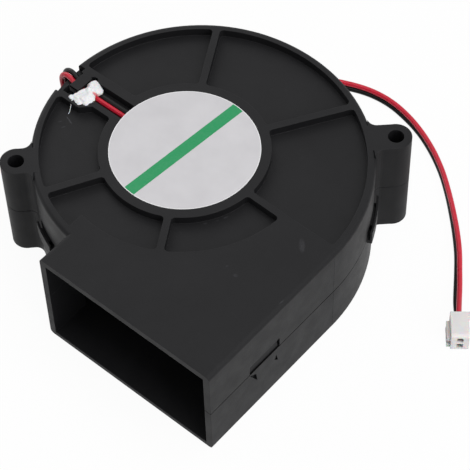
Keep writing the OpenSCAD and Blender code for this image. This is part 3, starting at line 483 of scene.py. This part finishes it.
def label_film():
    """Pale film with a plain green band, a near-white ring at its edge, and no print."""
    mat = Shader("label_film")
    base = mat.two_tone(mat.noise(scale=120, detail=3), LABEL_DARK, LABEL_LIGHT)
    along_x = mat.math("MULTIPLY", mat.axis("X"), math.cos(STRIPE_TILT))
    along_y = mat.math("MULTIPLY", mat.axis("Y"), math.sin(STRIPE_TILT))
    across = mat.math("SUBTRACT", along_x, along_y)
    off_middle = mat.math("ABSOLUTE", mat.math("SUBTRACT", across, STRIPE_OFFSET))
    thin_ink = mat.grey(mat.noise(scale=1500, detail=2), low=0.0, high=0.03)
    ink = mat.mix(thin_ink, STRIPE_GREEN, LABEL_LIGHT)
    colour = mat.mix(mat.math("LESS_THAN", off_middle, STRIPE_HALF_W), base, ink)
    x_squared = mat.math("POWER", mat.axis("X"), 2.0)
    y_squared = mat.math("POWER", mat.axis("Y"), 2.0)
    radius = mat.math("SQRT", mat.math("ADD", x_squared, y_squared))
    label_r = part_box("label")[1][0]
    colour = mat.mix(mat.math("GREATER_THAN", radius, label_r - LABEL_EDGE_W), colour, LABEL_EDGE)
    fine = mat.bump(mat.noise(scale=400, detail=2), depth=0.008 * MM)
    normal = mat.bump(mat.noise(scale=70, detail=2), depth=0.03 * MM, after=fine)
    roughness = mat.grey(mat.noise(scale=200, detail=3), low=0.3, high=0.4)
    return mat.done(colour, roughness, normal, Specular_IOR_Level=0.4)


COPPER_DARK = (0.22, 0.07, 0.02)
COPPER_LIGHT = (0.62, 0.24, 0.09)
TURNS_SCALE = 900
TURNS_DEPTH = 0.1 * MM


def winding():
    """Enamelled copper wire laid turn on turn up the coil."""
    mat = Shader("copper_wire")
    turns = mat.add("ShaderNodeTexWave", wave_type="BANDS", bands_direction="Z")
    turns.inputs["Scale"].default_value = TURNS_SCALE
    mat.link(mat.coord, turns.inputs["Vector"])
    colour = mat.mix(turns.outputs["Fac"], COPPER_DARK, COPPER_LIGHT)
    normal = mat.bump(turns.outputs["Fac"], TURNS_DEPTH)
    return mat.done(colour, roughness=0.3, normal=normal, Metallic=0.6)


MASK_OVER_BOARD = (0.008, 0.07, 0.025)
MASK_OVER_TRACKS = (0.015, 0.13, 0.05)


def circuit_mask():
    """Green solder mask, lighter where it lies over copper."""
    mat = Shader("circuit_mask")
    patches = mat.noise(scale=260, detail=2, roughness=0.4)
    colour = mat.ramp(patches, [(0.48, MASK_OVER_BOARD), (0.52, MASK_OVER_TRACKS)])
    normal = mat.bump(mat.noise(scale=400), depth=0.01 * MM)
    return mat.done(colour, roughness=0.28, normal=normal)


GLUE_DARK = (0.77, 0.77, 0.79)
GLUE_LIGHT = (0.86, 0.86, 0.87)
# The red lead shows through where the glue thins out over it: place and half sizes in mm
GLUE_TINT = (0.62, 0.05, 0.07)
GLUE_TINT_PLACE = (-31.9, -1.1, 32.3)
GLUE_TINT_SIZES = (1.6, 0.8, 1.6)
GLUE_TINT_STRENGTH = 0.8


def silicone():
    """White hot glue, a little see-through at its thin ends."""
    mat = Shader("silicone")
    colour = mat.two_tone(mat.noise(scale=500, detail=3), GLUE_DARK, GLUE_LIGHT)
    tint = mat.math("MULTIPLY", mat.spot(GLUE_TINT_PLACE, GLUE_TINT_SIZES), GLUE_TINT_STRENGTH)
    colour = mat.mix(tint, colour, GLUE_TINT)
    roughness = mat.grey(mat.noise(scale=500, detail=3), low=0.3, high=0.45)
    normal = mat.bump(mat.noise(scale=420, detail=2), depth=0.06 * MM)
    return mat.done(colour, roughness, normal, Subsurface_Weight=0.15, Subsurface_Scale=1 * MM)


black_plastic = moulded_plastic(
    "black_plastic", (0.0078, 0.0078, 0.0086), (0.0102, 0.0102, 0.0112), rough=(0.48, 0.56),
    specular=0.15, edge=(0.045, 0.045, 0.047), marks=HANDLING_MARKS_AND_GLINTS, parted=True)
black_wheel = moulded_plastic(
    "black_wheel", (0.010, 0.010, 0.011), (0.014, 0.014, 0.015), rough=(0.4, 0.5),
    grain=0.02 * MM, specular=0.22, edge=(0.04, 0.04, 0.042))
white_nylon = moulded_plastic(
    "white_nylon", (0.75, 0.735, 0.72), (0.81, 0.795, 0.78), rough=(0.35, 0.5),
    grain=0.01 * MM, specular=0.4, edge=(0.87, 0.86, 0.85),
    Subsurface_Weight=0.45, Subsurface_Scale=2 * MM)
off_white = moulded_plastic(
    "off_white", (0.62, 0.6, 0.54), (0.7, 0.68, 0.62), rough=(0.4, 0.55), grain=0.01 * MM)
ferrite = moulded_plastic(
    "ferrite", (0.05, 0.047, 0.047), (0.07, 0.065, 0.065), rough=(0.5, 0.65), grain=0.01 * MM)
epoxy = moulded_plastic(
    "epoxy", (0.015, 0.015, 0.016), (0.022, 0.022, 0.023), rough=(0.45, 0.6), grain=0.01 * MM)
red_pvc = wire_insulation(
    "red_pvc", (0.50, 0.011, 0.030), (0.59, 0.017, 0.042), specular=0.35)
black_pvc = wire_insulation(
    "black_pvc", (0.006, 0.006, 0.006), (0.009, 0.009, 0.009), specular=0.18)
steel = metal("steel", (0.5, 0.5, 0.52), (0.62, 0.62, 0.64))
bearing_metal = metal(
    "bearing_metal", (0.62, 0.62, 0.64), (0.7, 0.7, 0.72), rough=(0.12, 0.22), stretch=(1, 1, 60))
yoke_metal = metal(
    "yoke_metal", (0.33, 0.34, 0.36), (0.42, 0.43, 0.45), rough=(0.3, 0.45), stretch=(1, 1, 8))
laminations = metal(
    "laminations", (0.25, 0.25, 0.27), (0.5, 0.5, 0.52), rough=(0.3, 0.45), stretch=(1, 1, 1),
    scale=2500)
tin = metal("tin", (0.6, 0.6, 0.58), (0.7, 0.7, 0.68), rough=(0.25, 0.4))
# Tin darkened as painted shade, for the crimp terminals that sit in shadow inside the plug
shaded_tin = metal("shaded_tin", (0.12, 0.12, 0.115), (0.2, 0.2, 0.19), rough=(0.4, 0.55))
brass = metal("brass", (0.6, 0.42, 0.16), (0.72, 0.53, 0.24), rough=(0.2, 0.3))
aluminium = metal(
    "aluminium", (0.68, 0.69, 0.7), (0.78, 0.79, 0.8), rough=(0.25, 0.35), stretch=(1, 1, 20))
label_mat = label_film()
glue_mat = silicone()
copper_wire = winding()
board_mat = circuit_mask()

NODE_MATERIALS = {
    black_plastic: ["motor_side_housing", "inlet_side_cover"],
    black_wheel: ["impeller"],
    label_mat: ["label"],
    board_mat: ["circuit_board"],
    epoxy: ["driver_chip", "hall_sensor"],
    aluminium: ["capacitor"],
    tin: ["winding_pins"],
    shaded_tin: ["crimp_terminals"],
    laminations: ["stator_core"],
    off_white: ["upper_insulator", "lower_insulator"],
    copper_wire: ["coil_1", "coil_2", "coil_3", "coil_4"],
    brass: ["bearing_tube", "rotor_bush", "upper_bearing_cage", "lower_bearing_cage"],
    bearing_metal: [
        "upper_bearing_outer_ring", "upper_bearing_inner_ring", "upper_bearing_balls",
        "upper_bearing_shields", "lower_bearing_outer_ring", "lower_bearing_inner_ring",
        "lower_bearing_balls", "lower_bearing_shields", "shaft"],
    steel: ["preload_spring", "retaining_clip"],
    yoke_metal: ["rotor_yoke"],
    ferrite: ["ring_magnet"],
    red_pvc: ["red_inner_lead"],
    black_pvc: ["black_inner_lead"],
    glue_mat: ["glue_bead"],
    white_nylon: ["connector_housing"],
}
for material, names in NODE_MATERIALS.items():
    for name in names:
        for slot in nodes[name].material_slots:
            slot.material = material
red_wire.data.materials.append(red_pvc)
black_wire.data.materials.append(black_pvc)
glue.data.materials.append(glue_mat)
glue_string.data.materials.append(glue_mat)

# ---------------------------------------------------------------- stage and light

# Floor and world look white where they are seen, and give the rest only a faint fill light
WHITE = (1, 1, 1, 1)
FILL = 0.22
FLOOR_GLOW = 0.95
FLOOR_PAINT = (0.9, 0.9, 0.9, 1)
# The floor's side in metres
FLOOR_SIZE = 8
# A hair below the casing's underside, so that the two don't lie in one plane
FLOOR_Z = -0.05 * MM
# Soft lights: name, place and two sides in metres, and power in watts
LIGHTS = [("top", (0.2, 0.05, 0.78), (0.6, 0.6), 3.3), ("right", (0.7, -0.05, 0.4), (0.5, 0.5), 3),
          ("left", (-0.6, 0.2, 0.4), (0.4, 0.4), 1.2)]
LIGHTS_AIM = Vector((0, 0, 0.01))


def seen_directly(tree):
    """1 for rays from the camera, off a glossy surface or through glass, else 0."""
    path = tree.nodes.new("ShaderNodeLightPath")
    last = path.outputs["Is Camera Ray"]
    for kind in ("Is Glossy Ray", "Is Transmission Ray"):
        either = tree.nodes.new("ShaderNodeMath")
        either.operation = "MAXIMUM"
        tree.links.new(last, either.inputs[0])
        tree.links.new(path.outputs[kind], either.inputs[1])
        last = either.outputs[0]
    return last


def make_floor():
    """The pale floor, which glows where it is seen and is plain paint for all other light."""
    bpy.ops.mesh.primitive_plane_add(size=FLOOR_SIZE, location=(0, 0, FLOOR_Z))
    floor = bpy.context.object
    floor.name = "floor"
    mat = Shader("floor_white")
    mat.bsdf.inputs["Base Color"].default_value = FLOOR_PAINT
    mat.bsdf.inputs["Roughness"].default_value = 0.9
    mat.bsdf.inputs["Specular IOR Level"].default_value = 0.1
    glow = mat.add("ShaderNodeEmission")
    glow.inputs["Color"].default_value = WHITE
    blend = mat.add("ShaderNodeMixShader")
    mat.link(mat.math("MULTIPLY", seen_directly(mat.tree), FLOOR_GLOW), blend.inputs[0])
    mat.link(mat.bsdf.outputs[0], blend.inputs[1])
    mat.link(glow.outputs[0], blend.inputs[2])
    mat.link(blend.outputs[0], mat.tree.nodes["Material Output"].inputs["Surface"])
    floor.data.materials.append(mat.material)


def make_world():
    """White surroundings where they are seen, and a faint fill light for the rest."""
    world = bpy.data.worlds.new("world")
    bpy.context.scene.world = world
    world.use_nodes = True
    tree = world.node_tree
    fill = tree.nodes["Background"]
    fill.inputs["Color"].default_value = WHITE
    fill.inputs["Strength"].default_value = FILL
    white = tree.nodes.new("ShaderNodeBackground")
    white.inputs["Color"].default_value = WHITE
    blend = tree.nodes.new("ShaderNodeMixShader")
    tree.links.new(seen_directly(tree), blend.inputs[0])
    tree.links.new(fill.outputs[0], blend.inputs[1])
    tree.links.new(white.outputs[0], blend.inputs[2])
    tree.links.new(blend.outputs[0], tree.nodes["World Output"].inputs["Surface"])


def soft_light(name, place, size, power):
    """A soft rectangular studio light, turned towards the object."""
    data = bpy.data.lights.new(name, "AREA")
    data.shape = "RECTANGLE"
    data.size, data.size_y = size
    data.energy = power
    obj = bpy.data.objects.new(name, data)
    bpy.context.collection.objects.link(obj)
    obj.location = place
    obj.rotation_euler = (LIGHTS_AIM - Vector(place)).to_track_quat("-Z", "Y").to_euler()


make_floor()
make_world()
for light in LIGHTS:
    soft_light(*light)
bpy.context.scene.view_settings.view_transform = "Standard"
